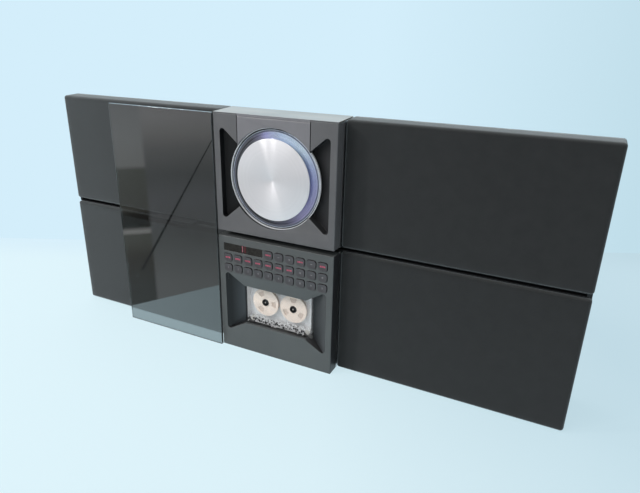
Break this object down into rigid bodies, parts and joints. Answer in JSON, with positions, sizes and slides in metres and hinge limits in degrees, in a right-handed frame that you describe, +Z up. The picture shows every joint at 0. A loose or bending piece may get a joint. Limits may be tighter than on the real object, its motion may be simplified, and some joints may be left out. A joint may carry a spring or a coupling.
{
  "type": "home audio console",
  "caption": "Slim upright home audio console: disc clamp, keypad and cassette bay in the middle, a cloth-covered speaker on each side and a sliding glass front.",
  "frame": {"origin": "on the table, under the middle of the whole console", "axes": "+X to the listener's right, +Y away from the listener, +Z up"},
  "size_m": [0.724, 0.106, 0.3245],
  "materials": {
    "cabinet_plastic": "fine-textured dark moulded plastic",
    "panel_grey": "satin warm grey paint on moulded plastic",
    "flap_grey": "satin grey paint, a shade lighter than the panel",
    "cover_silver": "fine brushed aluminium",
    "speaker_cloth": "close-woven dark grey speaker cloth",
    "smoked_glass": "grey-green tinted clear glass",
    "clamp_silver": "finely turned aluminium face",
    "disc_mirror": "recorded side with a blue-violet sheen",
    "key_grey": "dark grey soft-touch keys with small marks",
    "display_dark": "dark smoked window over a display",
    "cassette_clear": "clear frosted cassette shell",
    "reel_brown": "tape pack on a pale hub",
    "dark_plastic": "black moulded plastic",
    "rubber_mat": "grey silicone keypad mat",
    "zinc_steel": "zinc-plated sheet steel",
    "turned_steel": "bright turned steel",
    "black_screws": "black cross-head screws",
    "board_green": "green circuit board",
    "transformer_core": "varnished steel laminations",
    "speaker_cone": "black pulp cone and steel basket",
    "baffle_board": "dark-stained particle board"
  },
  "bodies": {
    "console": {"rear_cabinet": "cabinet_plastic", "cabinet_screws": "black_screws", "centre_chassis": "zinc_steel", "disc_panel": "panel_grey", "deck_panel": "panel_grey", "top_cover": "cover_silver", "display_window": "display_dark", "key_mat": "rubber_mat", "main_board": "board_green", "power_transformer": "transformer_core", "rear_sockets": "dark_plastic", "speaker_baffles": "baffle_board", "woofers": "speaker_cone", "tweeters": "speaker_cone", "left_grille_cloth": "speaker_cloth", "right_grille_cloth": "speaker_cloth", "grille_frames": "dark_plastic", "door_rail": "zinc_steel", "drive_motors": "zinc_steel", "disc_mechanism": "zinc_steel", "cassette_shell": "cassette_clear", "deck_plate": "zinc_steel"},
    "door": {"glass_door": "smoked_glass", "door_carriage": "dark_plastic"},
    "pinion": {"door_pinion": "dark_plastic"},
    "flap": {"clamp_flap": "flap_grey"},
    "clamp": {"clamp_disc": "clamp_silver"},
    "platter": {"turntable": "dark_plastic", "compact_disc": "disc_mirror"},
    "sled": {"laser_sled": "dark_plastic"},
    "supply_reel": {"left_reel": "reel_brown"},
    "take_up_reel": {"right_reel": "reel_brown"},
    "capstan": {"capstan": "turned_steel"},
    "bridge": {"head_bridge": "turned_steel"},
    "key_top_05": {"key_top_05": "key_grey"},
    "key_top_06": {"key_top_06": "key_grey"},
    "key_top_07": {"key_top_07": "key_grey"},
    "key_top_08": {"key_top_08": "key_grey"},
    "key_top_09": {"key_top_09": "key_grey"},
    "key_top_10": {"key_top_10": "key_grey"},
    "key_middle_01": {"key_middle_01": "key_grey"},
    "key_middle_02": {"key_middle_02": "key_grey"},
    "key_middle_03": {"key_middle_03": "key_grey"},
    "key_middle_04": {"key_middle_04": "key_grey"},
    "key_middle_05": {"key_middle_05": "key_grey"},
    "key_middle_06": {"key_middle_06": "key_grey"},
    "key_middle_07": {"key_middle_07": "key_grey"},
    "key_middle_08": {"key_middle_08": "key_grey"},
    "key_middle_09": {"key_middle_09": "key_grey"},
    "key_middle_10": {"key_middle_10": "key_grey"},
    "key_bottom_01": {"key_bottom_01": "key_grey"},
    "key_bottom_02": {"key_bottom_02": "key_grey"},
    "key_bottom_03": {"key_bottom_03": "key_grey"},
    "key_bottom_04": {"key_bottom_04": "key_grey"},
    "key_bottom_05": {"key_bottom_05": "key_grey"},
    "key_bottom_06": {"key_bottom_06": "key_grey"},
    "key_bottom_07": {"key_bottom_07": "key_grey"},
    "key_bottom_08": {"key_bottom_08": "key_grey"},
    "key_bottom_09": {"key_bottom_09": "key_grey"},
    "key_bottom_10": {"key_bottom_10": "key_grey"}
  },
  "joints": [
    {"name": "door_slide", "type": "slide", "parent": "console", "child": "door", "axis": [-1, 0, 0], "range_m": [-0.165, 0]},
    {"name": "door_pinion_spin", "type": "hinge", "parent": "console", "child": "pinion", "pos_m": [-0.062, -0.0068, 0.1677], "axis": [0, 0, 1], "range_deg": [0, 1480]},
    {"name": "clamp_flap_tilt", "type": "hinge", "parent": "console", "child": "flap", "pos_m": [0, -0.044, 0.3173], "axis": [-1, 0, 0], "range_deg": [0, 65]},
    {"name": "disc_spin", "type": "hinge", "parent": "console", "child": "platter", "pos_m": [0, -0.0403, 0.2465], "axis": [0, 1, 0], "continuous": true},
    {"name": "clamp_spin", "type": "hinge", "parent": "flap", "child": "clamp", "pos_m": [0, -0.0465, 0.2465], "axis": [0, 1, 0], "continuous": true},
    {"name": "laser_travel", "type": "slide", "parent": "console", "child": "sled", "axis": [0, 0, -1], "range_m": [0, 0.032]},
    {"name": "take_up_spin", "type": "hinge", "parent": "console", "child": "take_up_reel", "pos_m": [0.02125, -0.02975, 0.0726], "axis": [0, 1, 0], "continuous": true},
    {"name": "supply_spin", "type": "hinge", "parent": "console", "child": "supply_reel", "pos_m": [-0.02125, -0.02975, 0.0726], "axis": [0, 1, 0], "continuous": true},
    {"name": "capstan_spin", "type": "hinge", "parent": "console", "child": "capstan", "pos_m": [0.026, -0.02975, 0.045], "axis": [0, 1, 0], "continuous": true},
    {"name": "head_bridge_lift", "type": "slide", "parent": "console", "child": "bridge", "axis": [0, 0, 1], "range_m": [0, 0.004], "stiffness_N_per_m": 150},
    {"name": "key_top_05_press", "type": "slide", "parent": "console", "child": "key_top_05", "axis": [0, 1, 0], "range_m": [0, 0.001], "stiffness_N_per_m": 300},
    {"name": "key_top_06_press", "type": "slide", "parent": "console", "child": "key_top_06", "axis": [0, 1, 0], "range_m": [0, 0.001], "stiffness_N_per_m": 300},
    {"name": "key_top_07_press", "type": "slide", "parent": "console", "child": "key_top_07", "axis": [0, 1, 0], "range_m": [0, 0.001], "stiffness_N_per_m": 300},
    {"name": "key_top_08_press", "type": "slide", "parent": "console", "child": "key_top_08", "axis": [0, 1, 0], "range_m": [0, 0.001], "stiffness_N_per_m": 300},
    {"name": "key_top_09_press", "type": "slide", "parent": "console", "child": "key_top_09", "axis": [0, 1, 0], "range_m": [0, 0.001], "stiffness_N_per_m": 300},
    {"name": "key_top_10_press", "type": "slide", "parent": "console", "child": "key_top_10", "axis": [0, 1, 0], "range_m": [0, 0.001], "stiffness_N_per_m": 300},
    {"name": "key_middle_01_press", "type": "slide", "parent": "console", "child": "key_middle_01", "axis": [0, 1, 0], "range_m": [0, 0.001], "stiffness_N_per_m": 300},
    {"name": "key_middle_02_press", "type": "slide", "parent": "console", "child": "key_middle_02", "axis": [0, 1, 0], "range_m": [0, 0.001], "stiffness_N_per_m": 300},
    {"name": "key_middle_03_press", "type": "slide", "parent": "console", "child": "key_middle_03", "axis": [0, 1, 0], "range_m": [0, 0.001], "stiffness_N_per_m": 300},
    {"name": "key_middle_04_press", "type": "slide", "parent": "console", "child": "key_middle_04", "axis": [0, 1, 0], "range_m": [0, 0.001], "stiffness_N_per_m": 300},
    {"name": "key_middle_05_press", "type": "slide", "parent": "console", "child": "key_middle_05", "axis": [0, 1, 0], "range_m": [0, 0.001], "stiffness_N_per_m": 300},
    {"name": "key_middle_06_press", "type": "slide", "parent": "console", "child": "key_middle_06", "axis": [0, 1, 0], "range_m": [0, 0.001], "stiffness_N_per_m": 300},
    {"name": "key_middle_07_press", "type": "slide", "parent": "console", "child": "key_middle_07", "axis": [0, 1, 0], "range_m": [0, 0.001], "stiffness_N_per_m": 300},
    {"name": "key_middle_08_press", "type": "slide", "parent": "console", "child": "key_middle_08", "axis": [0, 1, 0], "range_m": [0, 0.001], "stiffness_N_per_m": 300},
    {"name": "key_middle_09_press", "type": "slide", "parent": "console", "child": "key_middle_09", "axis": [0, 1, 0], "range_m": [0, 0.001], "stiffness_N_per_m": 300},
    {"name": "key_middle_10_press", "type": "slide", "parent": "console", "child": "key_middle_10", "axis": [0, 1, 0], "range_m": [0, 0.001], "stiffness_N_per_m": 300},
    {"name": "key_bottom_01_press", "type": "slide", "parent": "console", "child": "key_bottom_01", "axis": [0, 1, 0], "range_m": [0, 0.001], "stiffness_N_per_m": 300},
    {"name": "key_bottom_02_press", "type": "slide", "parent": "console", "child": "key_bottom_02", "axis": [0, 1, 0], "range_m": [0, 0.001], "stiffness_N_per_m": 300},
    {"name": "key_bottom_03_press", "type": "slide", "parent": "console", "child": "key_bottom_03", "axis": [0, 1, 0], "range_m": [0, 0.001], "stiffness_N_per_m": 300},
    {"name": "key_bottom_04_press", "type": "slide", "parent": "console", "child": "key_bottom_04", "axis": [0, 1, 0], "range_m": [0, 0.001], "stiffness_N_per_m": 300},
    {"name": "key_bottom_05_press", "type": "slide", "parent": "console", "child": "key_bottom_05", "axis": [0, 1, 0], "range_m": [0, 0.001], "stiffness_N_per_m": 300},
    {"name": "key_bottom_06_press", "type": "slide", "parent": "console", "child": "key_bottom_06", "axis": [0, 1, 0], "range_m": [0, 0.001], "stiffness_N_per_m": 300},
    {"name": "key_bottom_07_press", "type": "slide", "parent": "console", "child": "key_bottom_07", "axis": [0, 1, 0], "range_m": [0, 0.001], "stiffness_N_per_m": 300},
    {"name": "key_bottom_08_press", "type": "slide", "parent": "console", "child": "key_bottom_08", "axis": [0, 1, 0], "range_m": [0, 0.001], "stiffness_N_per_m": 300},
    {"name": "key_bottom_09_press", "type": "slide", "parent": "console", "child": "key_bottom_09", "axis": [0, 1, 0], "range_m": [0, 0.001], "stiffness_N_per_m": 300},
    {"name": "key_bottom_10_press", "type": "slide", "parent": "console", "child": "key_bottom_10", "axis": [0, 1, 0], "range_m": [0, 0.001], "stiffness_N_per_m": 300}
  ],
  "couplings": [
    {"joint": "door_pinion_spin", "follows": "door_slide", "rad_per_m": -156.25},
    {"joint": "clamp_spin", "follows": "disc_spin", "ratio": 1},
    {"joint": "supply_spin", "follows": "take_up_spin", "ratio": 1}
  ]
}
